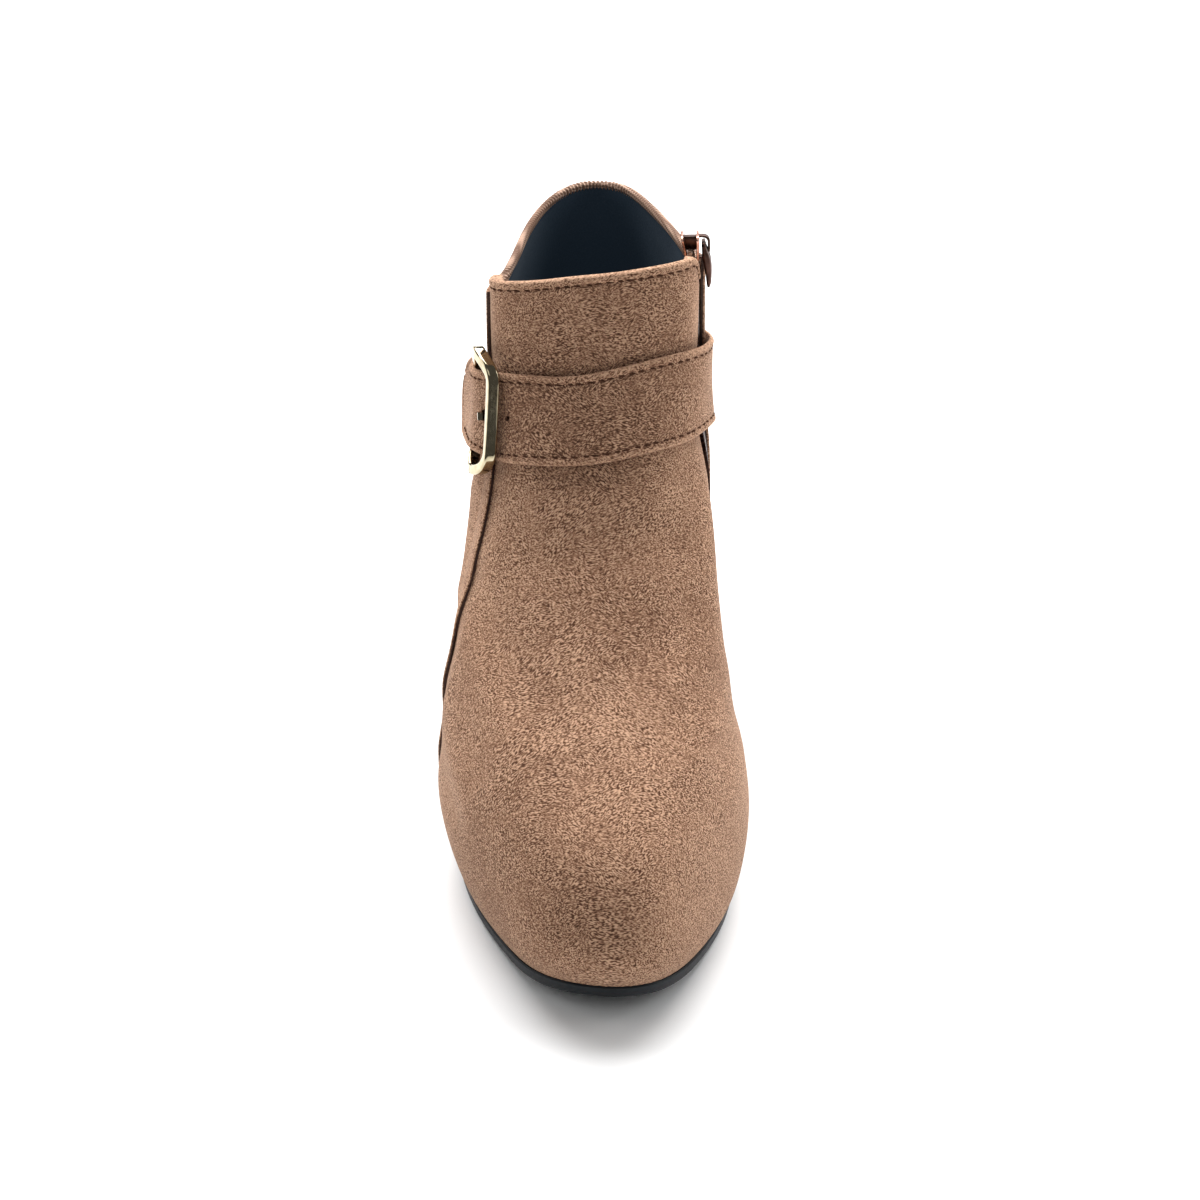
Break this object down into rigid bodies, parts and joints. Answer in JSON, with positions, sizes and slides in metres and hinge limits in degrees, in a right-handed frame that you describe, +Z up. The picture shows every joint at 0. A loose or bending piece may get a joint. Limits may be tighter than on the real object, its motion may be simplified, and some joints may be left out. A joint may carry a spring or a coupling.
{
  "type": "block heel ankle boot",
  "caption": "Right ankle boot with a block heel, hollow suede upper with a lapped front panel, buckled instep strap, thin arched sole, and an inner side zip with a hinged pull tab.",
  "frame": {"origin": "on the floor, under the middle of the boot's box", "axes": "+Z up, the toe points to -Y, the inner side of the foot is +X"},
  "size_m": [0.0912, 0.241, 0.1594],
  "materials": {
    "suede": "taupe tan nubuck-like suede, matt",
    "strap_suede": "the same suede with turned edges",
    "sole_rubber": "black, satin",
    "heel_cover": "black, satin",
    "sock_lining": "dark lining cloth",
    "pale_gold": "polished pale gold plate",
    "dark_bronze": "dark bronze plate"
  },
  "bodies": {
    "boot": {"upper": "suede", "outsole": "sole_rubber", "heel_block": "heel_cover", "heel_top_piece": "sole_rubber", "insole": "sock_lining", "strap": "strap_suede", "buckle_chape": "strap_suede", "buckle_frame": "pale_gold", "buckle_pin": "pale_gold", "zip_chain": "dark_bronze", "zip_slider": "dark_bronze"},
    "pull_tab": {"zip_pull": "dark_bronze"}
  },
  "joints": [
    {"name": "pull_tab_swing", "type": "hinge", "parent": "boot", "child": "pull_tab", "pos_m": [0.03253, 0.04233, 0.15622], "axis": [-0.0378, -0.9894, 0.1404], "range_deg": [0, 170]}
  ]
}
